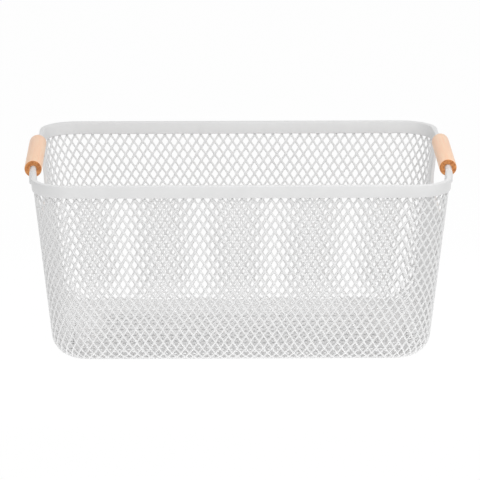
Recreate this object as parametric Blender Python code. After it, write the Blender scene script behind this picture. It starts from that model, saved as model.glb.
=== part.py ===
"""Handled storage basket: a tub, a rim frame with two hand holds, two rods and two turned grips.

Sizes are in metres. The origin is under the middle of the basket, on the floor it stands on.
+Z is up, +X runs along the long side, and -Y is the front.
"""

import math

import bmesh
import bpy
from mathutils import Matrix

# Rim frame
RIM_LENGTH = 0.380
RIM_DEPTH = 0.260
RIM_TOP = 0.1714
RIM_CORNER = 0.034
RIM_BAND = 0.0117
RIM_WIDTH = 0.005
RIM_LEAN = 0.09
RIM_EDGE = 0.0008
RIM_ROOF = 0.0025

# Tub
WALL = 0.002
WALL_LEAN = 0.10
WALL_INSET = 0.0025
FOOT_FILLET = 0.020
FLOOR_CORNER = 0.014
TONGUE = 0.0010
TONGUE_SET = 0.0002

# Hand holds in the short sides
HOLD_LENGTH = 0.136
HOLD_DROP = 0.048
HOLD_CORNER = 0.014
BORDER = 0.008
BORDER_PROUD = 0.0009
BORDER_WIDTH = 0.0032
BLOCK_END = 0.0025
BLOCK_WALL = 0.0010
BLOCK_SET = 0.0004
BLOCK_CORNER = 0.002

# Rods and grips
ROD_DIAMETER = 0.0055
ROD_INSET = 0.0002
ROD_DROP = 0.0028
SPIGOT_DIAMETER = 0.003
SPIGOT_LENGTH = 0.008
GRIP_DIAMETER = 0.016
GRIP_END_GAP = 0.016
GRIP_EDGE = 0.0015

# Fits
GAP = 0.0003
GRIP_PLAY = 0.0004

# Curve steps
CORNER_STEPS = 8
FILLET_STEPS = 6
GRIP_STEPS = 48
ROD_STEPS = 32

# Sizes that follow from those above
HALF_LENGTH = RIM_LENGTH / 2
HALF_DEPTH = RIM_DEPTH / 2
BAND_FOOT = RIM_TOP - RIM_BAND
HALF_HOLD = HOLD_LENGTH / 2
HOLD_FOOT = RIM_TOP - HOLD_DROP
ROD_HEIGHT = RIM_TOP - ROD_DROP
ROD_OUT = HALF_LENGTH - ROD_INSET
BLOCK_LENGTH = SPIGOT_LENGTH + BLOCK_END
FOOT_INSET = WALL_INSET + WALL_LEAN * BAND_FOOT
FOOT_CORNER = FLOOR_CORNER + FOOT_FILLET
TONGUE_INSET = WALL_INSET + TONGUE_SET
WALL_FOOT = HALF_LENGTH - FOOT_INSET
HOLD_DEPTH = 0.04
BEYOND = 0.02
SINK = 0.0005


def object_from(shape, name, group):
    """Turn a finished bmesh into an object of the given collection."""
    mesh = bpy.data.meshes.new(name)
    shape.to_mesh(mesh)
    shape.free()
    obj = bpy.data.objects.new(name, mesh)
    group.objects.link(obj)
    return obj


def upright_block(
    name, group, inset, foot, top, lean=0.0, fillet=0.0, edge=0.0, corner=None, foot_corner=None
):
    """Make a block with the rim's plan, set in all round, whose sides lean out as they rise.

    Its upright corners have one radius at the top, and can have another at the foot.
    """
    if corner is None:
        corner = RIM_CORNER - inset
    shape = bmesh.new()
    bmesh.ops.create_cube(shape, size=2.0)
    for vert in shape.verts:
        height = top if vert.co.z > 0 else foot
        out = lean * (height - foot)
        vert.co.x *= HALF_LENGTH - inset + out
        vert.co.y *= HALF_DEPTH - inset + out
        vert.co.z = height
    rising = [e for e in shape.edges if abs(e.verts[0].co.z - e.verts[1].co.z) > 1e-5]
    bmesh.ops.bevel(
        shape,
        geom=rising,
        offset=corner,
        offset_type="OFFSET",
        segments=CORNER_STEPS,
        profile=0.5,
        affect="EDGES",
    )
    if foot_corner is not None:
        for vert in shape.verts:
            if abs(vert.co.z - foot) < 1e-6:
                for axis, half in enumerate((HALF_LENGTH - inset, HALF_DEPTH - inset)):
                    cut = (half - abs(vert.co[axis])) * foot_corner / corner
                    vert.co[axis] = math.copysign(half - cut, vert.co[axis])
    for level, offset, steps in ((foot, fillet, FILLET_STEPS), (top, edge, 2)):
        if offset:
            loop = [e for e in shape.edges if all(abs(v.co.z - level) < 1e-6 for v in e.verts)]
            bmesh.ops.bevel(
                shape,
                geom=loop,
                offset=offset,
                offset_type="OFFSET",
                segments=steps,
                profile=0.5,
                affect="EDGES",
            )
    return object_from(shape, name, group)


def side_block(name, group, side, near, far, half_width, foot, top, corner, lean=0.0):
    """Make a block through one short side, with two rounded lower corners."""
    shape = bmesh.new()
    bmesh.ops.create_cube(shape, size=2.0)
    for vert in shape.verts:
        vert.co.x = side * (far if vert.co.x * side > 0 else near)
        vert.co.y *= half_width
        vert.co.z = top if vert.co.z > 0 else foot
    low = [
        e
        for e in shape.edges
        if abs(e.verts[0].co.x - e.verts[1].co.x) > 1e-5
        and all(abs(v.co.z - foot) < 1e-6 for v in e.verts)
    ]
    if corner:
        bmesh.ops.bevel(
            shape,
            geom=low,
            offset=corner,
            offset_type="OFFSET",
            segments=CORNER_STEPS,
            profile=0.5,
            affect="EDGES",
        )
    for vert in shape.verts:
        vert.co.x += side * lean * vert.co.z
    return object_from(shape, name, group)


def cylinder(shape, diameter, start, end, steps):
    """Add a closed cylinder along Y to a bmesh."""
    place = Matrix.Translation((0.0, (start + end) / 2, 0.0))
    bmesh.ops.create_cone(
        shape,
        cap_ends=True,
        segments=steps,
        radius1=diameter / 2,
        radius2=diameter / 2,
        depth=end - start,
        matrix=place @ Matrix.Rotation(math.radians(90), 4, "X"),
    )


def turned(name, group, diameter, start, end, steps, side=1, edge=0.0):
    """Make a turned piece on a rod's axis, with its origin on that axis."""
    shape = bmesh.new()
    cylinder(shape, diameter, start, end, steps)
    if edge:
        ends = [e for e in shape.edges if abs(e.verts[0].co.y - e.verts[1].co.y) < 1e-6]
        bmesh.ops.bevel(
            shape,
            geom=ends,
            offset=edge,
            offset_type="OFFSET",
            segments=4,
            profile=0.5,
            affect="EDGES",
        )
    obj = object_from(shape, name, group)
    obj.location = (side * ROD_OUT, 0.0, ROD_HEIGHT)
    return obj


def combine(obj, other, operation):
    """Add a Boolean modifier and return the object it is on."""
    modifier = obj.modifiers.new(other.name, "BOOLEAN")
    modifier.operation = operation
    modifier.solver = "EXACT"
    modifier.object = other
    return obj


def material(name, colour, roughness, metallic=0.0):
    """Make a Principled material."""
    made = bpy.data.materials.new(name)
    made.use_nodes = True
    surface = made.node_tree.nodes["Principled BSDF"]
    surface.inputs["Base Color"].default_value = (*colour, 1.0)
    surface.inputs["Roughness"].default_value = roughness
    surface.inputs["Metallic"].default_value = metallic
    return made


def make_rim_frame(group, cutters):
    """Make the grooved band, the border round each hand hold and the blocks the rods fit in."""
    rim = upright_block(
        "rim_frame",
        group,
        RIM_LEAN * RIM_BAND,
        BAND_FOOT,
        RIM_TOP,
        RIM_LEAN,
        edge=RIM_EDGE,
        corner=RIM_CORNER,
    )
    middle = upright_block(
        "rim_middle",
        cutters,
        RIM_WIDTH + RIM_LEAN * (RIM_BAND + BEYOND),
        BAND_FOOT - BEYOND,
        RIM_TOP + BEYOND,
        RIM_LEAN,
        corner=RIM_CORNER - RIM_WIDTH,
    )
    combine(rim, middle, "DIFFERENCE")

    groove_foot = BAND_FOOT - BEYOND
    groove_top = RIM_TOP - RIM_ROOF
    groove = upright_block("groove", cutters, TONGUE_INSET - GAP, groove_foot, groove_top)
    inside = upright_block(
        "groove_inside",
        cutters,
        TONGUE_INSET + TONGUE + GAP,
        groove_foot - BEYOND,
        groove_top + BEYOND,
    )
    combine(groove, inside, "DIFFERENCE")
    for side, word in ((-1, "left"), (1, "right")):
        stop = side_block(
            f"groove_stop_{word}",
            cutters,
            side,
            HALF_LENGTH - BEYOND,
            HALF_LENGTH + BEYOND,
            HALF_HOLD + BLOCK_LENGTH,
            groove_foot - BEYOND,
            RIM_TOP + BEYOND,
            0.0,
        )
        combine(groove, stop, "DIFFERENCE")

    for side, word in ((-1, "left"), (1, "right")):
        wall_at_foot = WALL_FOOT + BORDER_PROUD
        border = side_block(
            f"border_{word}",
            cutters,
            side,
            wall_at_foot - BORDER_WIDTH,
            wall_at_foot,
            HALF_HOLD + BORDER,
            HOLD_FOOT - BORDER,
            BAND_FOOT + RIM_BAND / 3,
            HOLD_CORNER + BORDER,
            WALL_LEAN,
        )
        combine(rim, border, "UNION")
        block = side_block(
            f"block_{word}",
            cutters,
            side,
            HALF_LENGTH - RIM_WIDTH / 2,
            ROD_OUT + SPIGOT_DIAMETER / 2 + BLOCK_WALL,
            HALF_HOLD + BLOCK_LENGTH - BLOCK_SET,
            BAND_FOOT + BLOCK_SET,
            RIM_TOP - BLOCK_SET,
            BLOCK_CORNER,
        )
        combine(rim, block, "UNION")
        hold = side_block(
            f"hold_{word}",
            cutters,
            side,
            HALF_LENGTH - HOLD_DEPTH,
            HALF_LENGTH + BEYOND,
            HALF_HOLD,
            HOLD_FOOT,
            RIM_TOP + BEYOND,
            HOLD_CORNER,
        )
        combine(rim, hold, "DIFFERENCE")
        reach = HALF_HOLD + SPIGOT_LENGTH + GAP
        sockets = turned(
            f"sockets_{word}",
            cutters,
            SPIGOT_DIAMETER + 2 * GAP,
            -reach,
            reach,
            ROD_STEPS,
            side,
        )
        combine(rim, sockets, "DIFFERENCE")
    return combine(rim, groove, "DIFFERENCE")


def wall_corner(height):
    """Return the radius of the wall's corners, seen from above, at a height."""
    share = height / BAND_FOOT
    return FOOT_CORNER + share * (RIM_CORNER - TONGUE_INSET - FOOT_CORNER)


def make_tub(group, cutters):
    """Make the tapered shell with its floor, and the tongue that stands in the rim's groove."""
    top = BAND_FOOT - GAP
    tub = upright_block(
        "mesh_tub",
        group,
        FOOT_INSET,
        0.0,
        top,
        WALL_LEAN,
        FOOT_FILLET,
        corner=wall_corner(top),
        foot_corner=FOOT_CORNER,
    )
    room = upright_block(
        "tub_room",
        cutters,
        FOOT_INSET + WALL - WALL_LEAN * WALL,
        WALL,
        top + BEYOND,
        WALL_LEAN,
        FOOT_FILLET - WALL,
        corner=wall_corner(top + BEYOND) - WALL,
        foot_corner=wall_corner(WALL) - WALL,
    )
    combine(tub, room, "DIFFERENCE")

    tongue_top = RIM_TOP - RIM_ROOF - GAP
    tongue = upright_block("tongue", cutters, TONGUE_INSET, top - SINK, tongue_top)
    inside = upright_block(
        "tongue_inside", cutters, TONGUE_INSET + TONGUE, top - BEYOND, RIM_TOP + BEYOND
    )
    combine(tongue, inside, "DIFFERENCE")
    for side, word in ((-1, "left"), (1, "right")):
        stop = side_block(
            f"tongue_stop_{word}",
            cutters,
            side,
            HALF_LENGTH - BEYOND,
            HALF_LENGTH + BEYOND,
            HALF_HOLD + BLOCK_LENGTH + GAP,
            top - BEYOND,
            RIM_TOP + BEYOND,
            0.0,
        )
        combine(tongue, stop, "DIFFERENCE")
    combine(tub, tongue, "UNION")

    for side, word in ((-1, "left"), (1, "right")):
        opening = side_block(
            f"side_opening_{word}",
            cutters,
            side,
            HALF_LENGTH - HOLD_DEPTH,
            HALF_LENGTH + BEYOND,
            HALF_HOLD + BORDER + GAP,
            HOLD_FOOT - BORDER - GAP,
            RIM_TOP + BEYOND,
            HOLD_CORNER + BORDER + GAP,
        )
        combine(tub, opening, "DIFFERENCE")
    return tub


def make_rod(group, cutters, side, word):
    """Make one rod with a thinner spigot at each end."""
    shoulder = HALF_HOLD - GAP
    rod = turned(f"rod_{word}", group, ROD_DIAMETER, -shoulder, shoulder, ROD_STEPS, side)
    reach = HALF_HOLD + SPIGOT_LENGTH - GAP
    spigots = turned(
        f"spigots_{word}", cutters, SPIGOT_DIAMETER, -reach, reach, ROD_STEPS, side
    )
    return combine(rod, spigots, "UNION")


def make_grip(group, cutters, side, word):
    """Make one turned grip, drilled through to run on its rod."""
    half = HALF_HOLD - GRIP_END_GAP
    grip = turned(
        f"grip_{word}", group, GRIP_DIAMETER, -half, half, GRIP_STEPS, side, GRIP_EDGE
    )
    bore = turned(
        f"bore_{word}",
        cutters,
        ROD_DIAMETER + 2 * GRIP_PLAY,
        -half - BEYOND,
        half + BEYOND,
        ROD_STEPS,
        side,
    )
    return combine(grip, bore, "DIFFERENCE")


def main():
    """Build the basket in an empty scene."""
    for obj in list(bpy.data.objects):
        bpy.data.objects.remove(obj, do_unlink=True)
    group = bpy.data.collections.new("handled_basket")
    cutters = bpy.data.collections.new("cutters")
    for collection in (group, cutters):
        bpy.context.scene.collection.children.link(collection)

    plastic = (0.86, 0.86, 0.86)
    make_rim_frame(group, cutters).data.materials.append(material("rim_plastic", plastic, 0.45))
    make_tub(group, cutters).data.materials.append(material("tub_plastic", plastic, 0.45))
    for side, word in ((-1, "left"), (1, "right")):
        rod = make_rod(group, cutters, side, word)
        rod.data.materials.append(material(f"rod_paint_{word}", (0.85, 0.85, 0.85), 0.35))
        grip = make_grip(group, cutters, side, word)
        grip.data.materials.append(material(f"grip_wood_{word}", (0.83, 0.52, 0.33), 0.6))

    for cutter in cutters.objects:
        cutter.hide_render = True
        cutter.display_type = "WIRE"


main()
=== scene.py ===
"""Storage basket of white diamond mesh with a banded rim and two turned wooden grips."""

import logging
import math
from collections.abc import Callable, Iterator
from contextlib import contextmanager
from dataclasses import dataclass, field
from enum import Enum

import bmesh
import bpy
import numpy as np
from mathutils import Matrix, Vector

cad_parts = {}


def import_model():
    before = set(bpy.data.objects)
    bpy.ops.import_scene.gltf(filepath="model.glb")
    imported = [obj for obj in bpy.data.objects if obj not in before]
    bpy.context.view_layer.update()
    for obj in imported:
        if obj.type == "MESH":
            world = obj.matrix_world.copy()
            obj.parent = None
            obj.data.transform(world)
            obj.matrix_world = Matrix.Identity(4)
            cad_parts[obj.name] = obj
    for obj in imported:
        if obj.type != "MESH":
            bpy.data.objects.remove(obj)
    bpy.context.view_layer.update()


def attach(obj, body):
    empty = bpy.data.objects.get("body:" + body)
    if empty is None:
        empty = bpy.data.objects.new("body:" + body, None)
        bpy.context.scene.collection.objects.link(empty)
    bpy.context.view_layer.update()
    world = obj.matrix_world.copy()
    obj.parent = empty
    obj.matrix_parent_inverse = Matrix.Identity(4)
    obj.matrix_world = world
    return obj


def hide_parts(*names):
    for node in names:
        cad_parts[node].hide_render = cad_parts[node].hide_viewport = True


LOG = logging.getLogger("basket")
MM = 0.001
QUARTER_TURN = math.radians(90)
WHITE = (1.0, 1.0, 1.0, 1.0)


class Side(Enum):
    """The short side that a handle is on."""

    LEFT = -1
    RIGHT = 1

    @property
    def word(self) -> str:
        """Return the side's name as node names spell it."""
        return self.name.lower()


class Half(Enum):
    """The half of the tub that one piece of mesh covers."""

    FRONT = 0
    REAR = 1


# Shared mesh code


def mesh_object(
    name: str,
    points: np.ndarray,
    faces: list[tuple[int, ...]],
    material: bpy.types.Material | None = None,
    smooth: bool = True,
) -> bpy.types.Object:
    """Make an object from points and faces.

    Args:
        name: The object's name.
        points: One row of three coordinates in metres for each point.
        faces: The point numbers round each face.
        material: What the object is made of.
        smooth: Whether the faces are shaded smooth.

    Returns:
        The new object, linked to the scene.
    """
    mesh = bpy.data.meshes.new(name)
    mesh.from_pydata([tuple(map(float, p)) for p in points], [], faces)
    mesh.validate()
    if smooth:
        mesh.shade_smooth()
    obj = bpy.data.objects.new(name, mesh)
    bpy.context.scene.collection.objects.link(obj)
    if material is not None:
        mesh.materials.append(material)
    return obj


@contextmanager
def editing(mesh: bpy.types.Mesh) -> Iterator[bmesh.types.BMesh]:
    """Open a mesh for editing, and write it back afterwards.

    Args:
        mesh: The mesh.

    Yields:
        Its editable copy.
    """
    work = bmesh.new()
    work.from_mesh(mesh)
    yield work
    work.to_mesh(mesh)
    work.free()


def grid_faces(rows: int, count: int, ring: bool = True, loop: bool = False) -> list[tuple[int, ...]]:
    """Join rows of points into faces of four corners.

    Args:
        rows: How many rows there are.
        count: Points in each row.
        ring: Whether a row's last point joins its first.
        loop: Whether the last row joins the first.

    Returns:
        The point numbers round each face.
    """
    faces = []
    for row in range(rows if loop else rows - 1):
        here = row * count
        there = (row + 1) % rows * count
        for k in range(count if ring else count - 1):
            after = (k + 1) % count
            faces.append((here + k, here + after, there + after, there + k))
    return faces


def closed_body(
    name: str, rings: list[np.ndarray], faces: list[tuple[int, ...]]
) -> bpy.types.Object:
    """Make a closed body whose faces point outwards.

    Args:
        name: The object's name.
        rings: Its points, ring by ring.
        faces: The point numbers round each face.

    Returns:
        The body.
    """
    obj = mesh_object(name, np.concatenate(rings), faces)
    with editing(obj.data) as work:
        bmesh.ops.recalc_face_normals(work, faces=work.faces)
    return obj


def swept(name: str, rings: list[np.ndarray], closed: bool = False) -> bpy.types.Object:
    """Skin a run of rings that all have the same number of points.

    Args:
        name: The object's name.
        rings: The rings' points, in order along the sweep.
        closed: Whether the last ring joins the first, or each end gets a cap.

    Returns:
        The closed body.
    """
    count = len(rings[0])
    faces = grid_faces(len(rings), count, loop=closed)
    if not closed:
        faces.append(tuple(range(count))[::-1])
        faces.append(tuple(range((len(rings) - 1) * count, len(rings) * count)))
    return closed_body(name, rings, faces)


def rounded_section(width: float, height: float, radius: float, steps: int = 3) -> np.ndarray:
    """Return the outline of a rectangle with rounded corners, centred on zero.

    Args:
        width: Size along the first axis.
        height: Size along the second axis.
        radius: Corner radius.
        steps: Segments in each corner.

    Returns:
        Points in order round the outline, anticlockwise.
    """
    outline = []
    for turn in range(4):
        across = (1, -1, -1, 1)[turn]
        up = (1, 1, -1, -1)[turn]
        for step in range(steps + 1):
            angle = QUARTER_TURN * (turn + step / steps)
            outline.append(
                (
                    across * (width / 2 - radius) + radius * math.cos(angle),
                    up * (height / 2 - radius) + radius * math.sin(angle),
                )
            )
    return np.array(outline)


def outside_corner(past_x: np.ndarray, past_y: np.ndarray, radius: float) -> np.ndarray:
    """Measure how far points lie outside a rectangle, near one of its round corners.

    Args:
        past_x: How far each point is past the corner's centre along one side.
        past_y: The same along the other side.
        radius: Corner radius.

    Returns:
        Distances in metres, negative inside.
    """
    outside = np.hypot(np.maximum(past_x, 0.0), np.maximum(past_y, 0.0))
    return outside + np.minimum(np.maximum(past_x, past_y), 0.0) - radius


def settle(obj: bpy.types.Object) -> None:
    """Turn an object's modifiers into a plain mesh and remove them.

    Args:
        obj: The object.
    """
    bpy.context.view_layer.update()
    graph = bpy.context.evaluated_depsgraph_get()
    made = bpy.data.meshes.new_from_object(
        obj.evaluated_get(graph), preserve_all_data_layers=True, depsgraph=graph
    )
    obj.modifiers.clear()
    old = obj.data
    obj.data = made
    made.name = obj.name
    bpy.data.meshes.remove(old)


def joined(base: bpy.types.Object, others: list[bpy.types.Object]) -> bpy.types.Object:
    """Union closed bodies into the first one, and delete the rest.

    Args:
        base: The body that the others are added to.
        others: The bodies to add.

    Returns:
        The first body, with a plain mesh.
    """
    for other in others:
        union = base.modifiers.new("union", "BOOLEAN")
        union.operation = "UNION"
        union.solver = "MANIFOLD"
        union.object = other
    settle(base)
    for other in others:
        bpy.data.objects.remove(other, do_unlink=True)
    return base


# Shared node code


Value = bpy.types.NodeSocket | float | str | tuple[float, ...]


@dataclass(frozen=True)
class Nodes:
    """A node tree, with short ways to add nodes to it."""

    tree: bpy.types.NodeTree

    def feed(self, node: bpy.types.Node, inputs: dict[str | int, Value]) -> None:
        """Link or set a node's inputs.

        Args:
            node: The node.
            inputs: A socket or a plain value for each input, by the input's name or number.
        """
        for key, value in inputs.items():
            if isinstance(value, bpy.types.NodeSocket):
                self.tree.links.new(value, node.inputs[key])
            else:
                node.inputs[key].default_value = value

    def add(
        self,
        kind: str,
        inputs: dict[str | int, Value] | None = None,
        data_type: str = "",
        operation: str = "",
    ) -> bpy.types.Node:
        """Add a node, and link or set its inputs.

        Args:
            kind: What kind of node it is.
            inputs: A socket or a plain value for each input, by the input's name or number.
            data_type: The kind of data that it handles, where that is chosen.
            operation: What it does, where that is chosen.

        Returns:
            The node.
        """
        node = self.tree.nodes.new(kind)
        if data_type:
            node.data_type = data_type
        if operation:
            node.operation = operation
        self.feed(node, inputs or {})
        return node

    def first(
        self, kind: str, inputs: dict[str | int, Value] | None = None, **settings: str
    ) -> bpy.types.NodeSocket:
        """Add a node as add does, and return its first output."""
        return self.add(kind, inputs, **settings).outputs[0]

    def math(self, operation: str, *values: Value) -> bpy.types.NodeSocket:
        """Add a math node on sockets or numbers, and return its result."""
        return self.first("ShaderNodeMath", dict(enumerate(values)), operation=operation)

    def place(self) -> bpy.types.NodeSocket:
        """Add a node that gives the object's own coordinates, and return them."""
        return self.add("ShaderNodeTexCoord").outputs["Object"]

    def ramp(
        self,
        value: bpy.types.NodeSocket,
        given: tuple[float, float] = (0.0, 1.0),
        wanted: tuple[float, float] = (0.0, 1.0),
    ) -> bpy.types.NodeSocket:
        """Add a node that maps one range of a value onto another.

        Args:
            value: What is mapped.
            given: The range that it comes in.
            wanted: The range that it goes out in, which it never leaves.

        Returns:
            The mapped value.
        """
        labels = ("From Min", "From Max", "To Min", "To Max")
        inputs = {"Value": value, **dict(zip(labels, (*given, *wanted)))}
        return self.add("ShaderNodeMapRange", inputs).outputs["Result"]

    def noise(
        self,
        place: bpy.types.NodeSocket,
        scale: Value,
        detail: float,
        roughness: float = 0.5,
    ) -> bpy.types.NodeSocket:
        """Add a noise texture.

        Args:
            place: The coordinates that it reads.
            scale: How fine it is.
            detail: How many finer layers it has.
            roughness: How strong they are.

        Returns:
            The noise, from 0 to 1.
        """
        inputs = {"Vector": place, "Scale": scale, "Detail": detail, "Roughness": roughness}
        return self.add("ShaderNodeTexNoise", inputs).outputs["Fac"]

    def blend(
        self, factor: bpy.types.NodeSocket, first: Value, second: Value
    ) -> bpy.types.NodeSocket:
        """Add a node that blends one colour into another, and return the colour."""
        inputs = {"Factor": factor, "A": first, "B": second}
        return self.add("ShaderNodeMix", inputs, data_type="RGBA").outputs["Result"]


def new_material(name: str) -> tuple[bpy.types.Material, Nodes, bpy.types.Node]:
    """Make a plain material.

    Args:
        name: Its name.

    Returns:
        The material, its nodes and its Principled BSDF.
    """
    made = bpy.data.materials.new(name)
    made.use_nodes = True
    return made, Nodes(made.node_tree), made.node_tree.nodes["Principled BSDF"]


# Finishes


@dataclass(frozen=True)
class SurfaceGrain:
    """Node group for the fine grain and uneven gloss that moulded and painted faces share."""

    name: str = "surface_grain"
    inputs: tuple[str, ...] = ("Grain Scale", "Depth", "Gloss", "Spread")
    grain_detail: float = 3.0
    patch_scale: float = 38.0
    patch_detail: float = 4.0
    patch_roughness: float = 0.6

    def group(self) -> bpy.types.NodeTree:
        """Build the group, or return it if it is there.

        Returns:
            A group that takes a grain size, a bump depth, a gloss and its spread, and puts out
            a normal, a roughness and a mask.
        """
        known = bpy.data.node_groups.get(self.name)
        if known is not None:
            return known
        tree = bpy.data.node_groups.new(self.name, "ShaderNodeTree")
        for label in self.inputs:
            tree.interface.new_socket(label, in_out="INPUT", socket_type="NodeSocketFloat")
        for label, kind in (("Normal", "Vector"), ("Roughness", "Float"), ("Mask", "Float")):
            tree.interface.new_socket(label, in_out="OUTPUT", socket_type=f"NodeSocket{kind}")
        nodes = Nodes(tree)
        given = nodes.add("NodeGroupInput").outputs
        place = nodes.place()
        grain = nodes.noise(place, given["Grain Scale"], self.grain_detail)
        patches = nodes.noise(place, self.patch_scale, self.patch_detail, self.patch_roughness)
        bumps = {"Strength": 1.0, "Distance": given["Depth"], "Height": grain}
        centred = nodes.math("SUBTRACT", patches, 0.5)
        put_out = {
            "Normal": nodes.first("ShaderNodeBump", bumps),
            "Roughness": nodes.math("MULTIPLY_ADD", centred, given["Spread"], given["Gloss"]),
            "Mask": patches,
        }
        nodes.add("NodeGroupOutput", put_out)
        return tree

    def place(self, nodes: Nodes, *values: float) -> bpy.types.bpy_prop_collection:
        """Add the group to a material.

        Args:
            nodes: The material's nodes.
            values: Grain size as noise scale on metres, bump depth in metres, middle roughness
                and how far the roughness wanders.

        Returns:
            The group's outputs.
        """
        node = nodes.add("ShaderNodeGroup")
        node.node_tree = self.group()
        nodes.feed(node, dict(zip(self.inputs, values)))
        return node.outputs


@dataclass(frozen=True)
class WhiteFinish:
    """Moulded white plastic or white paint."""

    name: str
    light: float = 0.83
    dull: float = 0.80
    gloss: float = 0.42
    spread: float = 0.12
    grain: float = 1100.0
    depth: float = 0.00003
    patch_edges: tuple[float, float] = (0.35, 0.65)
    refraction: float = 1.49

    def material(self) -> bpy.types.Material:
        """Build the material.

        Returns:
            A material whose white and gloss wander a little over the surface.
        """
        made, nodes, surface = new_material(self.name)
        grain = SurfaceGrain().place(nodes, self.grain, self.depth, self.gloss, self.spread)
        light_part = nodes.ramp(grain["Mask"], self.patch_edges)
        dull, light = ((level, level, level, 1.0) for level in (self.dull, self.light))
        looks = {
            "Base Color": nodes.blend(light_part, dull, light),
            "Roughness": grain["Roughness"],
            "Normal": grain["Normal"],
            "IOR": self.refraction,
        }
        nodes.feed(surface, looks)
        return made


@dataclass(frozen=True)
class TurnedWood:
    """Pale turned wood, whose grain runs along the grip unless it is end grain."""

    name: str
    pale: tuple[float, float, float] = (1.0, 0.67, 0.44)
    warm: tuple[float, float, float] = (1.0, 0.59, 0.36)
    fleck: tuple[float, float, float] = (0.74, 0.40, 0.20)
    along: float = 0.045
    tilt: tuple[float, float, float] = (math.radians(3), 0.0, math.radians(2))
    band_scale: float = 420.0
    band_detail: float = 5.0
    band_roughness: float = 0.55
    band_edges: tuple[float, float] = (0.36, 0.62)
    fleck_scale: float = 2600.0
    fleck_detail: float = 2.0
    fleck_edges: tuple[float, float] = (0.62, 0.74)
    fleck_share: float = 0.55
    pore_depth: float = 0.00006
    pore_strength: float = 0.7
    gloss: float = 0.42
    gloss_spread: float = 0.16
    lacquer: float = 0.4
    lacquer_gloss: float = 0.3

    def material(self) -> bpy.types.Material:
        """Build the material.

        Returns:
            Long grain with short dark flecks, or the even speckle of end grain.
        """
        made, nodes, surface = new_material(self.name)
        stretch = {
            "Vector": nodes.place(),
            "Scale": (1.0, self.along, 1.0),
            "Rotation": self.tilt,
        }
        place = nodes.first("ShaderNodeMapping", stretch)
        bands = nodes.noise(place, self.band_scale, self.band_detail, self.band_roughness)
        pores = nodes.noise(place, self.fleck_scale, self.fleck_detail)
        grain = nodes.add("ShaderNodeValToRGB", {"Fac": bands})
        colours = zip(grain.color_ramp.elements, self.band_edges, (self.warm, self.pale))
        for element, edge, colour in colours:
            element.position = edge
            element.color = (*colour, 1.0)
        flecks = nodes.ramp(pores, self.fleck_edges, (0.0, self.fleck_share))
        bumps = {"Height": pores, "Distance": self.pore_depth, "Strength": self.pore_strength}
        roughness = (self.gloss, self.gloss + self.gloss_spread)
        looks = {
            "Base Color": nodes.blend(flecks, grain.outputs["Color"], (*self.fleck, 1.0)),
            "Roughness": nodes.ramp(bands, wanted=roughness),
            "Normal": nodes.first("ShaderNodeBump", bumps),
            "Coat Weight": self.lacquer,
            "Coat Roughness": self.lacquer_gloss,
        }
        nodes.feed(surface, looks)
        return made


# The tub's shape


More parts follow.
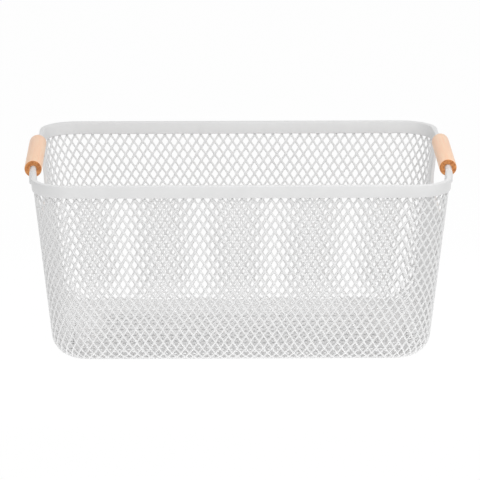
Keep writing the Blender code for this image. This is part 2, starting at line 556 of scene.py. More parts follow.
@dataclass(frozen=True)
class TubShape:
    """The tub's outer form, as a plan that leans in towards its foot and rounds into its floor."""

    rim_length: float = 0.380
    rim_depth: float = 0.260
    rim_top: float = 0.1714
    rim_corner: float = 0.034
    rim_band: float = 0.0117
    rim_width: float = 0.005
    rim_lean: float = 0.09
    wall: float = 0.002
    lean: float = 0.10
    wall_inset: float = 0.0025
    tongue_set: float = 0.0002
    fillet: float = 0.020
    floor_corner: float = 0.014
    columns: int = 140
    column_share: float = 0.995
    column_taper: float = 1.04
    rear_shift: float = 0.158
    row_height: float = 0.01266
    row_spread: float = 0.0085
    first_row_drop: float = 0.0011

    @property
    def band_foot(self) -> float:
        """Height of the band's lower edge."""
        return self.rim_top - self.rim_band

    @property
    def top_corner(self) -> float:
        """Plan radius of the wall's corners at the band."""
        return self.rim_corner - self.wall_inset - self.tongue_set

    @property
    def top_half(self) -> tuple[float, float]:
        """Half the wall's length and half its depth at the band."""
        return self.rim_length / 2 - self.wall_inset, self.rim_depth / 2 - self.wall_inset

    @property
    def pitch(self) -> float:
        """Distance between mesh columns at the band."""
        half_x, half_y = self.top_half
        return (half_x + half_y + self.top_corner * (QUARTER_TURN - 2)) / (self.columns / 4)

    def corner_at(self, height: float) -> float:
        """Return the plan radius of the wall's corners at a height."""
        foot = self.floor_corner + self.fillet
        return foot + height / self.band_foot * (self.top_corner - foot)

    @property
    def lean_angle(self) -> float:
        """Angle of the wall from upright."""
        return math.atan(self.lean)

    @property
    def foot_inset(self) -> float:
        """How far inside the rim the wall's line meets the floor."""
        return self.wall_inset + self.lean * self.band_foot

    @property
    def foot_radius(self) -> float:
        """Radius of the rounding between wall and floor."""
        return self.fillet / math.tan((QUARTER_TURN - self.lean_angle) / 2)

    @property
    def wall_run(self) -> float:
        """Distance down the middle of the wall from the first row to the foot's rounding."""
        first = self.band_foot - self.first_row_drop
        end = self.foot_radius * (1 - math.sin(self.lean_angle))
        return (first - end) / math.cos(self.lean_angle)

    def rearward(self, column: float) -> float:
        """Find how far along a short side a column is.

        Args:
            column: Mesh columns from the middle of the front.

        Returns:
            A share from 0 on the whole front to 1 on the whole rear.
        """
        half = self.columns / 2
        away = abs((column + half) % self.columns - half)
        at_side = (self.top_half[0] + self.top_corner * (QUARTER_TURN - 1)) / self.pitch
        return min(max((away - at_side) / (half - 2 * at_side), 0.0), 1.0)

    def rows_at(self, angle: float) -> float:
        """Return the row where the rounding has turned by an angle below level."""
        run = (self.foot_radius - self.wall / 2) * (angle - self.lean_angle)
        return (self.wall_run + run) / self.row_height

    def plan(self, column: float, inset: float, corner: float) -> tuple[Vector, Vector]:
        """Find a point of the plan.

        Args:
            column: Mesh columns from the middle of the front, anticlockwise from above.
            inset: Distance inside the rim's outer edge.
            corner: Corner radius at that inset.

        Returns:
            The point, and the outward direction there.
        """
        quarter = self.columns / 4
        top_x, top_y = self.top_half
        at_corner = (top_x - self.top_corner) / self.pitch
        at_side = at_corner + self.top_corner * QUARTER_TURN / self.pitch
        column += self.rear_shift * self.rearward(column)
        turn = (column + quarter) // (2 * quarter)
        rest = column - 2 * quarter * turn
        sign_x = 1.0 if rest >= 0 else -1.0
        rest = abs(rest)

        half_x = self.rim_length / 2 - inset
        half_y = self.rim_depth / 2 - inset
        run = half_x - corner
        side_run = half_y - corner
        turned = max(corner, self.floor_corner + self.fillet)
        half_length = run + turned
        arc = turned * QUARTER_TURN
        total = run + arc + side_run
        front_pitch = self.column_share * self.pitch * (half_length / top_x) ** self.column_taper
        side_pitch = self.pitch * (side_run + turned) / top_y
        front_end = at_corner * front_pitch
        side_start = total - (quarter - at_side) * side_pitch
        if rest <= at_corner:
            along = rest * front_pitch
        elif rest <= at_side:
            share = (rest - at_corner) / (at_side - at_corner)
            along = front_end + share * (side_start - front_end)
        else:
            along = total - (quarter - rest) * side_pitch

        if along <= run:
            point = Vector((along, -half_y, 0.0))
            out = Vector((0.0, -1.0, 0.0))
        elif along <= run + arc:
            angle = (along - run) / turned
            out = Vector((math.sin(angle), -math.cos(angle), 0.0))
            point = Vector((half_x - corner, corner - half_y, 0.0)) + corner * out
        else:
            point = Vector((half_x, along - total, 0.0))
            out = Vector((1.0, 0.0, 0.0))
        point.x *= sign_x
        out.x *= sign_x
        if int(turn) % 2:
            return Vector((-point.x, -point.y, 0.0)), Vector((-out.x, -out.y, 0.0))
        return point, out

    def level(self, row: float) -> tuple[float, float, float, float]:
        """Find the wall's section at a row.

        Args:
            row: Mesh rows down from the first one, along the middle of the wall.

        Returns:
            Inset, height, corner radius and the angle that the outward direction dips by.
        """
        down = row * self.row_height
        dip = self.lean_angle
        if down <= self.wall_run:
            height = self.band_foot - self.first_row_drop - down * math.cos(dip)
            inset = self.wall_inset + self.lean * (self.band_foot - height)
            return inset, height, self.corner_at(height), dip
        radius = self.foot_radius
        bend = radius * math.cos(dip)
        first_corner = self.corner_at(radius * (1 - math.sin(dip)))
        dip += (down - self.wall_run) / (radius - self.wall / 2)
        beyond = 0.0
        if dip > QUARTER_TURN:
            beyond = (dip - QUARTER_TURN) * (radius - self.wall / 2)
            dip = QUARTER_TURN
        left = radius * math.cos(dip)
        inset = self.foot_inset + self.fillet - left + beyond
        height = radius * (1 - math.sin(dip))
        corner = self.floor_corner + left / bend * (first_corner - self.floor_corner) - beyond
        return inset, height, max(corner, MM), dip

    def mesh_row(self, column: float, row: float) -> float:
        """Turn a mesh row into rows of even height, because the rear wall's rows are taller."""
        return row * (1 + self.row_spread * (2 * self.rearward(column) - 1))

    def surface(self, column: float, row: float, depth: float) -> tuple[Vector, Vector]:
        """Find a point on or under the outer face.

        Args:
            column: Mesh columns from the middle of the front.
            row: Rows of even height down from the first one.
            depth: Distance under the outer face.

        Returns:
            The point and the outward direction.
        """
        inset, height, corner, dip = self.level(row)
        point, flat = self.plan(column, inset, corner)
        out = flat * math.cos(dip) + Vector((0.0, 0.0, -math.sin(dip)))
        point.z = height
        return point - depth * out, out


@dataclass(frozen=True)
class HoldShape:
    """The hand hold in each short side, a notch open at the top with a border round it."""

    half_length: float = 0.068
    drop: float = 0.048
    corner: float = 0.014
    border: float = 0.008
    border_width: float = 0.0032
    border_proud: float = 0.0009
    block_length: float = 0.0105
    block_wall: float = 0.0010
    block_set: float = 0.0004
    block_round: float = 0.0022
    block_taper: float = 0.0020
    narrowing: float = 0.0013
    rod_inset: float = 0.0002

    def distance(self, across: np.ndarray, height: np.ndarray, top: float) -> np.ndarray:
        """Measure how far points lie outside the notch's outline.

        Args:
            across: Positions along Y.
            height: Positions along Z.
            top: Height of the rim's top.

        Returns:
            Distances in metres, negative inside the notch.
        """
        side = np.abs(across) - (self.half_length - self.corner)
        under = (top - self.drop + self.corner) - height
        return outside_corner(side, under, self.corner)


# The mesh


@dataclass
class DiamondMesh:
    """The tub's walls and floor of crossing strands with diamond openings."""

    finish: bpy.types.Material
    shape: TubShape = field(default_factory=TubShape)
    hold: HoldShape = field(default_factory=HoldShape)
    strand: float = 0.00188
    thickness: float = 0.00194
    section: tuple[tuple[float, float], ...] = (
        (0.0, 1.0),
        (0.42, 0.84),
        (1.0, -0.15),
        (0.84, -0.86),
        (0.0, -1.0),
    )
    acute_rounding: float = 0.10
    acute_shares: tuple[float, float] = (0.22, 0.84)
    obtuse_rounding: float = 0.05
    obtuse_shares: tuple[float, float] = (0.16, 0.78)
    weld: float = 0.002
    rows: int = 27
    guide_margin: float = 2.0
    guide_step: float = 0.25
    # The guide's rows on the wall and on the foot, each a start, an end and a step
    wall_rows: tuple[float, float, float] = (-1.0, 10.5, 0.5)
    foot_rows: tuple[float, float, float] = (10.5, 14.375, 0.125)
    floor_pitch: float = 0.0086
    floor_strand: float = 0.0030
    floor_reach: float = 0.0018
    ring_start: float = 80.0
    ring_reach: float = 0.0040
    ring_rows: int = 7
    hidden: float = 0.004
    side_depth: float = 0.03

    def tile(self, pitch: float, strand: float) -> bpy.types.Object:
        """Make the strands round one opening, in columns, rows and millimetres.

        Args:
            pitch: Column pitch in metres.
            strand: Width of a strand in metres.

        Returns:
            One tile, whose edges run along the middles of the strands.
        """
        half_x = pitch / 2
        half_y = self.shape.row_height / 2
        reach = half_x * half_y / math.hypot(half_x, half_y)
        half_strand = strand / 2
        crown = self.thickness / 2 / MM
        corners = ((0.0, 1.0), (1.0, 0.0), (0.0, -1.0), (-1.0, 0.0))
        points = []
        for across, up in self.section:
            height = crown * up
            scale = 1 - half_strand * across / reach
            for k, (x, y) in enumerate(corners):
                next_x, next_y = corners[(k + 1) % 4]
                acute = k % 2 == 0
                pull = self.acute_rounding if acute else self.obtuse_rounding
                shrink = 1 - pull * across
                points.append((x * scale * shrink, y * scale * shrink, height))
                shares = self.acute_shares if acute else self.obtuse_shares
                for third, share in zip((1 / 3, 2 / 3), shares):
                    along = third + across * (share - third)
                    points.append(
                        (scale * (x + along * (next_x - x)), scale * (y + along * (next_y - y)), height)
                    )
        faces = grid_faces(len(self.section), 3 * len(corners))
        # The corner that a face starts from sets the way that it is split in two
        turned = [face[1:] + face[:1] for face in faces]
        return mesh_object("opening_tile", np.array(points) * (0.5, 0.5, 1.0), turned)

    def guide(
        self,
        columns: np.ndarray,
        rows: np.ndarray,
        find: Callable[[float, float], tuple[Vector, Vector]],
    ) -> bpy.types.Object:
        """Make the surface that the mesh follows, with columns and rows as its UV map.

        Args:
            columns: Column positions of its points.
            rows: Row positions of its points.
            find: Function of column and row that gives a point and an outward direction.

        Returns:
            The guide, with the outward directions in its attribute named out.
        """
        spots = np.array([(column, row) for row in rows for column in columns])
        found = [find(float(column), float(row)) for column, row in spots]
        faces = grid_faces(len(rows), len(columns), ring=False)
        obj = mesh_object("mesh_guide", np.array([tuple(p) for p, _ in found]), faces)
        mesh = obj.data
        out = mesh.attributes.new("out", "FLOAT_VECTOR", "POINT")
        out.data.foreach_set("vector", np.array([tuple(o) for _, o in found]).ravel())
        layer = mesh.uv_layers.new(name="UVMap")
        corners = np.empty(len(mesh.loops), dtype=np.int32)
        mesh.loops.foreach_get("vertex_index", corners)
        layer.uv.foreach_set("vector", spots[corners].ravel())
        return obj

    def tree(self) -> bpy.types.NodeTree:
        """Build the Geometry Nodes tree that lays tiles along a guide.

        Returns:
            A tree that takes the tile, the guide, the counts, the first place and the finish.
        """
        tree = bpy.data.node_groups.new("diamond_mesh", "GeometryNodeTree")
        sockets = tree.interface
        sockets.new_socket("Geometry", in_out="OUTPUT", socket_type="NodeSocketGeometry")
        for label, kind in (
            ("Tile", "Object"),
            ("Guide", "Object"),
            ("Columns", "Int"),
            ("Rows", "Int"),
            ("First Column", "Float"),
            ("First Row", "Float"),
            ("Finish", "Material"),
        ):
            sockets.new_socket(label, in_out="INPUT", socket_type=f"NodeSocket{kind}")
        nodes = Nodes(tree)
        given = nodes.add("NodeGroupInput").outputs
        meshes = {
            label: nodes.add("GeometryNodeObjectInfo", {"Object": given[label]}).outputs["Geometry"]
            for label in ("Tile", "Guide")
        }
        flat_mesh = self.flat_mesh(nodes, given, meshes["Tile"])
        last = {0: self.bent(nodes, meshes["Guide"], flat_mesh)}
        dressed = {
            "Geometry": nodes.first("GeometryNodeRealizeInstances", last),
            "Material": given["Finish"],
        }
        nodes.add("NodeGroupOutput", {0: nodes.first("GeometryNodeSetMaterial", dressed)})
        return tree

    def flat_mesh(
        self,
        nodes: Nodes,
        given: bpy.types.bpy_prop_collection,
        tile: bpy.types.NodeSocket,
    ) -> bpy.types.NodeSocket:
        """Add the nodes that lay tiles in staggered rows on a plane and weld them.

        Args:
            nodes: The Geometry Nodes.
            given: The tree's inputs.
            tile: The tile's mesh.

        Returns:
            The flat mesh, in columns, rows and millimetres.
        """
        columns = given["Columns"]
        index = nodes.first("GeometryNodeInputIndex")
        column = nodes.math("MODULO", index, columns)
        row = nodes.math("FLOOR", nodes.math("DIVIDE", index, columns))
        stagger = nodes.math("MULTIPLY", nodes.math("MODULO", row, 2.0), 0.5)
        across = nodes.math("ADD", column, stagger)
        down = nodes.math("MULTIPLY", row, 0.5)
        place = {
            "X": nodes.math("ADD", across, given["First Column"]),
            "Y": nodes.math("ADD", down, given["First Row"]),
        }
        spots = {
            "Count": nodes.math("MULTIPLY", columns, given["Rows"]),
            "Position": nodes.first("ShaderNodeCombineXYZ", place),
        }
        copies = {"Points": nodes.first("GeometryNodePoints", spots), "Instance": tile}
        laid = {0: nodes.first("GeometryNodeInstanceOnPoints", copies)}
        welded = {
            "Geometry": nodes.first("GeometryNodeRealizeInstances", laid),
            "Distance": self.weld,
        }
        return nodes.first("GeometryNodeMergeByDistance", welded)

    @staticmethod
    def bent(
        nodes: Nodes, guide: bpy.types.NodeSocket, flat_mesh: bpy.types.NodeSocket
    ) -> bpy.types.NodeSocket:
        """Add the nodes that bend the flat mesh onto a guide.

        Args:
            nodes: The Geometry Nodes.
            guide: The guide's mesh.
            flat_mesh: The flat mesh.

        Returns:
            The bent mesh, shaded smooth.
        """
        position = nodes.first("GeometryNodeInputPosition")
        parts = nodes.add("ShaderNodeSeparateXYZ", {0: position}).outputs
        spot = nodes.first("ShaderNodeCombineXYZ", {"X": parts["X"], "Y": parts["Y"]})
        chart, out = (
            nodes.first("GeometryNodeInputNamedAttribute", {"Name": name}, data_type="FLOAT_VECTOR")
            for name in ("UVMap", "out")
        )
        sampled = []
        for value in (position, out):
            inputs = {"Mesh": guide, "Value": value, "UV Map": chart, "Sample UV": spot}
            sample = nodes.add("GeometryNodeSampleUVSurface", inputs, data_type="FLOAT_VECTOR")
            sampled.append(sample.outputs["Value"])
        height = nodes.math("MULTIPLY", parts["Z"], MM)
        raised = {0: sampled[1], "Scale": height}
        total = {0: sampled[0], 1: nodes.first("ShaderNodeVectorMath", raised, operation="SCALE")}
        moved = {
            "Geometry": flat_mesh,
            "Position": nodes.first("ShaderNodeVectorMath", total, operation="ADD"),
        }
        smooth = {"Geometry": nodes.first("GeometryNodeSetPosition", moved)}
        return nodes.first("GeometryNodeSetShadeSmooth", smooth)

    def lay(
        self, name: str, tree: bpy.types.NodeTree, values: dict[str, object]
    ) -> bpy.types.Object:
        """Run the tree once and keep its result as a plain mesh.

        Args:
            name: The new piece's name.
            tree: The Geometry Nodes tree.
            values: A value for each of the tree's inputs but the finish, by name.

        Returns:
            The piece, with no modifier and with its guide deleted.
        """
        given = {"Finish": self.finish, **values}
        obj = mesh_object(name, np.zeros((0, 3)), [])
        laid = obj.modifiers.new("mesh", "NODES")
        laid.node_group = tree
        for item in tree.interface.items_tree:
            if item.item_type == "SOCKET" and item.in_out == "INPUT":
                laid[item.identifier] = given[item.name]
        settle(obj)
        bpy.data.objects.remove(given["Guide"], do_unlink=True)
        return obj

    def trim(self, obj: bpy.types.Object, keep: Callable[[np.ndarray], np.ndarray]) -> None:
        """Delete the faces whose middles a test refuses.

        Args:
            obj: The piece to trim.
            keep: Function of the faces' middles that says which stay.
        """
        centres = np.empty(len(obj.data.polygons) * 3)
        obj.data.polygons.foreach_get("center", centres)
        stays = keep(centres.reshape(-1, 3))
        with editing(obj.data) as work:
            gone = [face for face, stay in zip(work.faces, stays) if not stay]
            bmesh.ops.delete(work, geom=gone, context="FACES")

    def wall(
        self, tree: bpy.types.NodeTree, tile: bpy.types.Object, half: Half
    ) -> bpy.types.Object:
        """Make the front or rear half of the walls.

        Args:
            tree: The Geometry Nodes tree.
            tile: The strands round one opening.
            half: Which half it is.

        Returns:
            The piece, cut off round the hand holds under their borders.
        """
        shape = self.shape
        columns = shape.columns // 2
        first = columns * (half.value - 0.5)
        start = first - self.guide_margin
        end = first + columns + self.guide_margin + self.guide_step
        sides = shape.rim_length / 2 - self.side_depth

        def find(column: float, row: float) -> tuple[Vector, Vector]:
            """Find a point in the middle of the wall, and the outward direction."""
            return shape.surface(column, shape.mesh_row(column, row), shape.wall / 2)

        def keep(spots: np.ndarray) -> np.ndarray:
            """Say which points are away from both hand holds."""
            clear = self.hold.distance(spots[:, 1], spots[:, 2], shape.rim_top) > self.hidden
            return (np.abs(spots[:, 0]) < sides) | clear

        values = {
            "Tile": tile,
            "Guide": self.guide(
                np.arange(start, end, self.guide_step),
                np.concatenate([np.arange(*self.wall_rows), np.arange(*self.foot_rows)]),
                find,
            ),
            "Columns": columns,
            "Rows": self.rows,
            "First Column": first + 0.5,
            "First Row": 0.0,
        }
        piece = self.lay(f"mesh_{half.name.lower()}", tree, values)
        self.trim(piece, keep)
        return piece

    def floor(self, tree: bpy.types.NodeTree, tile: bpy.types.Object) -> bpy.types.Object:
        """Make the floor's mesh, cut off inside the solid ring round it.

        Args:
            tree: The Geometry Nodes tree.
            tile: The strands round one opening.

        Returns:
            The floor's mesh.
        """
        shape = self.shape
        inset = shape.foot_inset + shape.fillet + self.floor_reach
        half_x = shape.rim_length / 2 - inset
        half_y = shape.rim_depth / 2 - inset
        corner = shape.floor_corner - self.floor_reach
        wide = math.ceil(half_x / self.floor_pitch) + 1
        deep = math.ceil(half_y / shape.row_height) + 1

        def find(column: float, row: float) -> tuple[Vector, Vector]:
            """Find a point in the middle of the floor, and the way down."""
            point = (column * self.floor_pitch, row * shape.row_height, shape.wall / 2)
            return Vector(point), Vector((0.0, 0.0, -1.0))

        def keep(spots: np.ndarray) -> np.ndarray:
            """Say which points are inside the cut, which is hidden by the ring."""
            past = np.abs(spots[:, :2]) - (half_x - corner, half_y - corner)
            return outside_corner(past[:, 0], past[:, 1], corner) < 0

        values = {
            "Tile": tile,
            "Guide": self.guide(
                np.array([-wide - 1.0, wide + 1.0]), np.array([-deep - 1.0, deep + 1.0]), find
            ),
            "Columns": 2 * wide,
            "Rows": 4 * deep,
            "First Column": -wide + 0.5,
            "First Row": float(-deep),
        }
        piece = self.lay("mesh_floor", tree, values)
        self.trim(piece, keep)
        return piece

    def ring(self) -> bpy.types.Object:
        """Make the solid ring that joins the walls' mesh to the floor's.

        Returns:
            The ring.
        """
        shape = self.shape
        start = shape.rows_at(math.radians(self.ring_start))
        end = shape.rows_at(QUARTER_TURN) + self.ring_reach / shape.row_height
        rows = [float(row) for row in np.linspace(start, end, self.ring_rows)]
        rings = []
        for step in range(2 * shape.columns):
            under = [shape.surface(step / 2, row, 0.0)[0] for row in rows]
            over = [shape.surface(step / 2, row, shape.wall)[0] for row in rows[::-1]]
            rings.append(np.array([tuple(p) for p in under + over]))
        obj = swept("foot_ring", rings, closed=True)
        obj.data.materials.append(self.finish)
        return obj

    def build(self) -> list[bpy.types.Object]:
        """Make every piece of the tub.

        Returns:
            The two halves of the walls, the floor and the ring.
        """
        tile = self.tile(self.shape.pitch, self.strand)
        floor_tile = self.tile(self.floor_pitch, self.floor_strand)
        tree = self.tree()
        pieces = [self.wall(tree, tile, half) for half in Half]
        pieces.append(self.floor(tree, floor_tile))
        for used in (tile, floor_tile):
            bpy.data.objects.remove(used, do_unlink=True)
        return [*pieces, self.ring()]


# The rim


@dataclass
class RimFrame:
    """The band round the top, with a border that dips round each hand hold."""

    finish: bpy.types.Material
    shape: TubShape = field(default_factory=TubShape)
    hold: HoldShape = field(default_factory=HoldShape)
    edge: float = 0.0009
    corner_steps: int = 20
    spigot: float = 0.003
    block_ease: float = 0.4
    block_lean: float = 0.6
    merge: float = 0.000005
    sharp: float = 35.0

    def arc(self) -> list[tuple[float, float]]:
        """Return the cosine and sine of each step round a corner."""
        angles = [QUARTER_TURN * step / self.corner_steps for step in range(self.corner_steps + 1)]
        return [(math.cos(angle), math.sin(angle)) for angle in angles]

    def band_path(self, front: bool) -> list[tuple[Vector, Vector, Vector]]:
        """List points along the band's top outer edge from one hand hold to the other.

        Args:
            front: Whether it is the front stretch.

        Returns:
            Points on the edge, each with its outward direction and the way that it leans out.
        """
        half_x = self.shape.rim_length / 2
        half_y = self.shape.rim_depth / 2
        corner = self.shape.rim_corner
        aside = Vector((1.0, 0.0, 0.0))
        stops = (self.hold.half_length, self.hold.half_length + self.hold.block_length)
        path = [(Vector((half_x, -y, 0.0)), aside, aside) for y in stops]
        centre = Vector((half_x - corner, corner - half_y, 0.0))
        for over, down in self.arc():
            out = Vector((over, -down, 0.0))
            path.append((centre + corner * out, out, Vector((1.0, -1.0, 0.0))))
        for station in path[::-1]:
            path.append(tuple(Vector((-v.x, v.y, 0.0)) for v in station))
        if front:
            return path
        return [tuple(Vector((-v.x, -v.y, 0.0)) for v in station) for station in path]

    def band(self, name: str, front: bool) -> bpy.types.Object:
        """Sweep the band's section along one stretch, leaning in towards its lower edge.

        Args:
            name: The stretch's name.
            front: Whether it is the front one.

        Returns:
            The stretch, narrower on the inside beside the hand holds.
        """
        shape = self.shape
        section = rounded_section(shape.rim_width, shape.rim_band, self.edge)
        corner_start = shape.rim_depth / 2 - shape.rim_corner
        rings = []
        for point, out, lean_way in self.band_path(front):
            slim = self.hold.narrowing if abs(point.y) < corner_start - MM else 0.0
            ring = []
            for across, up in section:
                drop = shape.rim_band / 2 - up
                inner = slim if across < 0 else 0.0
                depth = shape.rim_width / 2 - across - inner
                spot = point - out * depth - lean_way * shape.rim_lean * drop
                ring.append((spot.x, spot.y, shape.rim_top - drop))
            rings.append(np.array(ring))
        return swept(name, rings)

    def border(self, side: Side) -> bpy.types.Object:
        """Sweep the border's section round one hand hold, in the plane of the leaning wall.

        Args:
            side: The hand hold's side.

        Returns:
            The border, narrower where it rises into the band.
        """
        shape = self.shape
        hold = self.hold
        reach = hold.half_length + hold.border / 2
        foot = shape.rim_top - hold.drop - hold.border / 2
        corner = hold.corner + hold.border / 2
        path = [(reach, shape.band_foot + shape.rim_band / 3, 1.0, 0.0)]
        for over, down in self.arc():
            spot = (reach - corner + corner * over, foot + corner - corner * down)
            path.append((*spot, over, -down))
        path += [(-y, z, -over, down) for y, z, over, down in path[::-1]]
        outer = shape.rim_length / 2 - shape.foot_inset + hold.border_proud
        section = rounded_section(hold.border, hold.border_width, self.edge)
        rings = []
        for y, z, over, down in path:
            slim = hold.narrowing if z > shape.band_foot else 0.0
            ring = []
            for across, through in section:
                py = y + across * over
                pz = z + across * down
                inner = slim if through < 0 else 0.0
                px = outer - hold.border_width / 2 + through + inner + shape.lean * pz
                ring.append((side.value * px, py, pz))
            rings.append(np.array(ring))
        return swept(f"border_{side.word}", rings)

    def block(self, side: Side, end: int) -> bpy.types.Object:
        """Make the thicker end of the band that takes a rod's spigot.

        Args:
            side: The hand hold's side.
            end: Which end of the hand hold it is at, -1 at the front and 1 at the rear.

        Returns:
            The block.
        """
        shape = self.shape
        hold = self.hold
        near = shape.rim_length / 2 - shape.rim_width / 2
        far = shape.rim_length / 2 - hold.rod_inset + self.spigot / 2 + hold.block_wall
        height = shape.rim_band - 2 * hold.block_set
        section = rounded_section(far - near, height, hold.block_round)
        centre = (shape.rim_top + shape.band_foot) / 2
        stops = (
            (0.0, self.edge),
            (self.edge * self.block_ease, 0.0),
            (hold.block_length - hold.block_taper, 0.0),
            (hold.block_length - hold.block_set, hold.block_taper),
        )
        rings = []
        for along, shrink in stops:
            ring = []
            for across, up in section:
                inward = shrink * self.block_lean if across > 0 else 0.0
                px = (far + near) / 2 + across - inward
                ring.append((side.value * px, end * (hold.half_length + along), centre + up))
            rings.append(np.array(ring))
        return swept(f"block_{side.word}_{end}", rings)

    def build(self) -> bpy.types.Object:
        """Make the frame as one body.

        Returns:
            The frame.
        """
        base = self.band("rim_band", True)
        others = [self.band("rear_band", False)]
        for side in Side:
            others.append(self.border(side))
            others += [self.block(side, end) for end in (-1, 1)]
        frame = joined(base, others)
        with editing(frame.data) as work:
            bmesh.ops.remove_doubles(work, verts=work.verts, dist=self.merge)
        frame.data.materials.clear()
        frame.data.materials.append(self.finish)
        frame.data.shade_smooth()
        frame.data.set_sharp_from_angle(angle=math.radians(self.sharp))
        return frame


# The handles


@dataclass
class Handle:
    """A rod across a hand hold, and the drilled wooden grip that turns on it."""

    side: Side
    shape: TubShape = field(default_factory=TubShape)
    hold: HoldShape = field(default_factory=HoldShape)
    rod_diameter: float = 0.0055
    rod_drop: float = 0.0028
    rod_sunk: float = 0.0006
    rod_sharp: float = 40.0
    grip_diameter: float = 0.016
    grip_end_gap: float = 0.016
    grip_edge: float = 0.0013
    grip_edge_steps: int = 6
    grip_sharp: float = 50.0
    end_facing: float = 0.75
    bore: float = 0.0063
    bore_edge: float = 0.0003
    steps: int = 64

    def turn(
        self, name: str, profile: list[tuple[float, float]], closed: bool
    ) -> bpy.types.Object:
        """Turn a profile round the rod's axis.

        Args:
            name: The object's name.
            profile: Places along Y, each with a radius.
            closed: Whether the profile is a loop, as round a bore.

        Returns:
            The turned body.
        """
        x = self.side.value * (self.shape.rim_length / 2 - self.hold.rod_inset)
        z = self.shape.rim_top - self.rod_drop
        rings = []
        for step in range(self.steps):
            angle = math.radians(360) * step / self.steps
            ring = [(x + r * math.cos(angle), y, z + r * math.sin(angle)) for y, r in profile]
            rings.append(np.array(ring))
        count = len(profile)
        faces = grid_faces(self.steps, count, ring=closed, loop=True)
        if not closed:
            for k in (0, count - 1):
                faces.append(tuple(row * count + k for row in range(self.steps)))
        return closed_body(name, rings, faces)

    def rod(self, finish: bpy.types.Material) -> bpy.types.Object:
        """Make the rod, with its ends just inside the frame's blocks.

        Args:
            finish: Its paint.

        Returns:
            The rod.
        """
        reach = self.hold.half_length + self.rod_sunk
        radius = self.rod_diameter / 2
        obj = self.turn(f"rod_bar_{self.side.word}", [(-reach, radius), (reach, radius)], False)
        obj.data.materials.append(finish)
        obj.data.set_sharp_from_angle(angle=math.radians(self.rod_sharp))
        return obj

    def grip(self, wood: bpy.types.Material, end_grain: bpy.types.Material) -> bpy.types.Object:
        """Make the grip with softened ends and its bore.

        Args:
            wood: The long grain.
            end_grain: The grain that its ends show.

        Returns:
            The grip.
        """
        half = self.hold.half_length - self.grip_end_gap
        radius = self.grip_diameter / 2
        inner = self.bore / 2
        right = [(half - self.bore_edge, inner), (half, inner + self.bore_edge)]
        for step in range(self.grip_edge_steps + 1):
            angle = QUARTER_TURN * step / self.grip_edge_steps
            back = self.grip_edge * (1 - math.cos(angle))
            right.append((half - back, radius - self.grip_edge * (1 - math.sin(angle))))
        profile = right + [(-y, r) for y, r in right[::-1]]
        obj = self.turn(f"wood_grip_{self.side.word}", profile, True)
        mesh = obj.data
        mesh.materials.append(wood)
        mesh.materials.append(end_grain)
        for face in mesh.polygons:
            face.material_index = int(abs(face.normal.y) > self.end_facing)
        mesh.set_sharp_from_angle(angle=math.radians(self.grip_sharp))
        return obj


# The studio


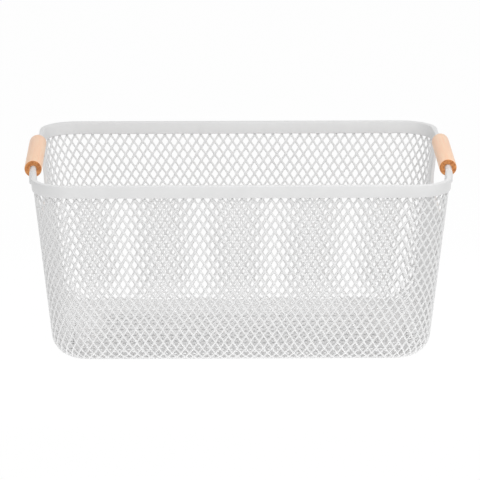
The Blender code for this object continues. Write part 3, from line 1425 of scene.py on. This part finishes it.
@dataclass
class Studio:
    """The floor, the lights and the camera."""

    target: tuple[float, float, float] = (0.0, 0.0, 0.0869)
    distance: float = 3.2
    elevation: float = 15.0
    azimuth: float = -0.76
    lens: float = 256.6
    sensor: float = 36.0
    clip: tuple[float, float] = (0.1, 20.0)
    ambient: float = 0.48
    key: float = 5.6
    key_place: tuple[float, float, float] = (0.22, -0.5, 0.98)
    key_size: tuple[float, float] = (1.2, 0.4)
    floor_size: float = 12.0
    floor_grey: float = 0.85
    floor_rough: float = 0.9
    floor_white: float = 0.96
    ground_glow: float = 0.28
    # Rectangles on the ground, each with half its sides, its blend and the value inside it: a brighter
    # glowing patch round the basket, and painted shadow under it
    near_glow: tuple[float, float, float, float] = (0.33, 0.26, 0.06, 1.9)
    # Painted shadow: under the basket the ground glows less and shows less plain white, darkest in the
    # middle
    shades: tuple[tuple[float, float, float, float], ...] = (
        (0.1515, 0.0915, 0.004, 0.80),
        (0.1350, 0.0560, 0.010, 0.30),
    )

    def camera(self) -> None:
        """Set the camera at the photograph's viewing angle."""
        rise = math.radians(self.elevation)
        turn = math.radians(self.azimuth)
        level = math.cos(rise)
        back = Vector((math.sin(turn) * level, -math.cos(turn) * level, math.sin(rise)))
        data = bpy.data.cameras.new("camera")
        data.lens = self.lens
        data.sensor_width = self.sensor
        data.clip_start, data.clip_end = self.clip
        camera = bpy.data.objects.new("camera", data)
        right = Vector((math.cos(turn), math.sin(turn), 0.0))
        up = back.cross(right)
        turned = Matrix((right, up, back)).transposed().to_4x4()
        camera.matrix_world = (
            Matrix.Translation(Vector(self.target) + self.distance * back) @ turned
        )
        bpy.context.scene.collection.objects.link(camera)
        bpy.context.scene.camera = camera

    def lamp(self) -> None:
        """Hang one long area lamp over the front of the basket, facing it."""
        data = bpy.data.lights.new("key_lamp", "AREA")
        data.shape = "RECTANGLE"
        data.size, data.size_y = self.key_size
        data.energy = self.key
        lamp = bpy.data.objects.new("key_lamp", data)
        lamp.location = self.key_place
        aim = Vector(self.target) - Vector(self.key_place)
        lamp.rotation_euler = aim.to_track_quat("-Z", "Y").to_euler()
        bpy.context.scene.collection.objects.link(lamp)

    @staticmethod
    def seen_white(
        nodes: Nodes, plain: bpy.types.NodeSocket, share: Value = 1.0
    ) -> bpy.types.NodeSocket:
        """Mix in plain white wherever the camera sees a shader directly or in a reflection.

        Args:
            nodes: The shader's nodes.
            plain: The shader that lights the scene.
            share: How much of what is seen is plain white.

        Returns:
            The mixed shader.
        """
        path = nodes.add("ShaderNodeLightPath").outputs
        seen = nodes.math("MAXIMUM", path["Is Camera Ray"], path["Is Glossy Ray"])
        seen = nodes.math("MAXIMUM", seen, path["Is Transmission Ray"])
        kind = "ShaderNodeBackground" if plain.node.type == "BACKGROUND" else "ShaderNodeEmission"
        white = nodes.first(kind, {"Color": WHITE, "Strength": 1.0})
        mixed = {"Fac": nodes.math("MULTIPLY", seen, share), 1: plain, 2: white}
        return nodes.first("ShaderNodeMixShader", mixed)

    @staticmethod
    def beyond(
        nodes: Nodes, half_x: float, half_y: float, blend: float, within: float
    ) -> bpy.types.NodeSocket:
        """Add nodes that tell the ground inside a rectangle from the ground outside it.

        Args:
            nodes: The ground's nodes.
            half_x: Half the rectangle's length.
            half_y: Half its depth.
            blend: How far each side of its edge the change takes.
            within: The value inside.

        Returns:
            A value that is 1 outside the rectangle and the given one inside it.
        """
        parts = nodes.add("ShaderNodeSeparateXYZ", {0: nodes.place()}).outputs
        past = [
            nodes.math("SUBTRACT", nodes.math("ABSOLUTE", part), half)
            for part, half in zip(parts, (half_x, half_y))
        ]
        return nodes.ramp(nodes.math("MAXIMUM", *past), (-blend, blend), (within, 1.0))

    def world(self) -> None:
        """Set an even pale surround."""
        world = bpy.data.worlds.new("studio")
        world.use_nodes = True
        nodes = Nodes(world.node_tree)
        plain = nodes.tree.nodes["Background"]
        nodes.feed(plain, {"Color": WHITE, "Strength": self.ambient})
        seen = self.seen_white(nodes, plain.outputs[0])
        nodes.feed(nodes.tree.nodes["World Output"], {"Surface": seen})
        bpy.context.scene.world = world

    def floor(self) -> None:
        """Lay a plain pale floor that keeps the basket's shadow, with painted shadow darkening the
        ground under it.
        """
        made, nodes, surface = new_material("studio_floor")
        # Painted shadow under the basket: it lowers the ground's glow and its plain white there, so the
        # real shade shows through darker
        painted_shadow_factor = nodes.math("MULTIPLY", *(self.beyond(nodes, *shade) for shade in self.shades))
        glow = nodes.math("MULTIPLY", painted_shadow_factor, self.ground_glow)
        looks = {
            "Base Color": (self.floor_grey, self.floor_grey, self.floor_grey, 1.0),
            "Roughness": self.floor_rough,
            "Specular IOR Level": 0.0,
            "Emission Color": WHITE,
            "Emission Strength": nodes.math("MULTIPLY", glow, self.beyond(nodes, *self.near_glow)),
        }
        nodes.feed(surface, looks)
        share = nodes.math("MULTIPLY", painted_shadow_factor, self.floor_white)
        seen = self.seen_white(nodes, surface.outputs[0], share)
        nodes.feed(nodes.tree.nodes["Material Output"], {"Surface": seen})
        corners = np.array([(-1, -1, 0), (1, -1, 0), (1, 1, 0), (-1, 1, 0)]) * self.floor_size / 2
        mesh_object("studio_floor", corners, [(0, 1, 2, 3)], made, smooth=False)

    def build(self) -> None:
        """Set up everything that isn't the basket."""
        self.camera()
        self.world()
        self.floor()
        self.lamp()
        bpy.context.scene.view_settings.view_transform = "Standard"


def dress(piece: bpy.types.Object, body: str, nodes: list[str], slot: str) -> None:
    """Attach a piece to the body that it moves with, hide the CAD nodes that it stands for, and log its
    material slot.

    Args:
        piece: The piece.
        body: The body that it moves with.
        nodes: The CAD nodes that it stands for.
        slot: The record's material slot.
    """
    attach(piece, body)
    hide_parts(*nodes)
    LOG.info("%s rides on %s as %s: %d faces", piece.name, body, slot, len(piece.data.polygons))


def main() -> None:
    """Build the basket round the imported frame."""
    logging.basicConfig(level=logging.INFO, format="%(message)s")
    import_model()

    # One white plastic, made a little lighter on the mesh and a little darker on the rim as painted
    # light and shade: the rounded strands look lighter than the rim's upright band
    plastic = WhiteFinish("white_plastic", light=0.865, dull=0.835, gloss=0.36).material()
    rim_plastic = WhiteFinish("rim_plastic", depth=0.00002).material()
    paint = WhiteFinish(
        "rod_paint", light=0.90, dull=0.88, gloss=0.3, spread=0.05, depth=0.00001
    ).material()
    wood = TurnedWood("grip_wood").material()
    end_grain = TurnedWood(
        "grip_end_grain",
        pale=(0.76, 0.32, 0.10),
        warm=(0.46, 0.15, 0.04),
        along=1.0,
        gloss=0.6,
        lacquer=0.0,
    ).material()

    for piece in DiamondMesh(plastic).build():
        dress(piece, "basket", ["mesh_tub"], "tub_plastic")
    dress(RimFrame(rim_plastic).build(), "basket", ["rim_frame"], "rim_plastic")
    for side in Side:
        handle = Handle(side)
        dress(handle.rod(paint), "basket", [f"rod_{side.word}"], "rod_paint")
        grip = handle.grip(wood, end_grain)
        dress(grip, f"grip_{side.word}", [f"grip_{side.word}"], "grip_wood")
    Studio().build()


if __name__ == "__main__":
    main()
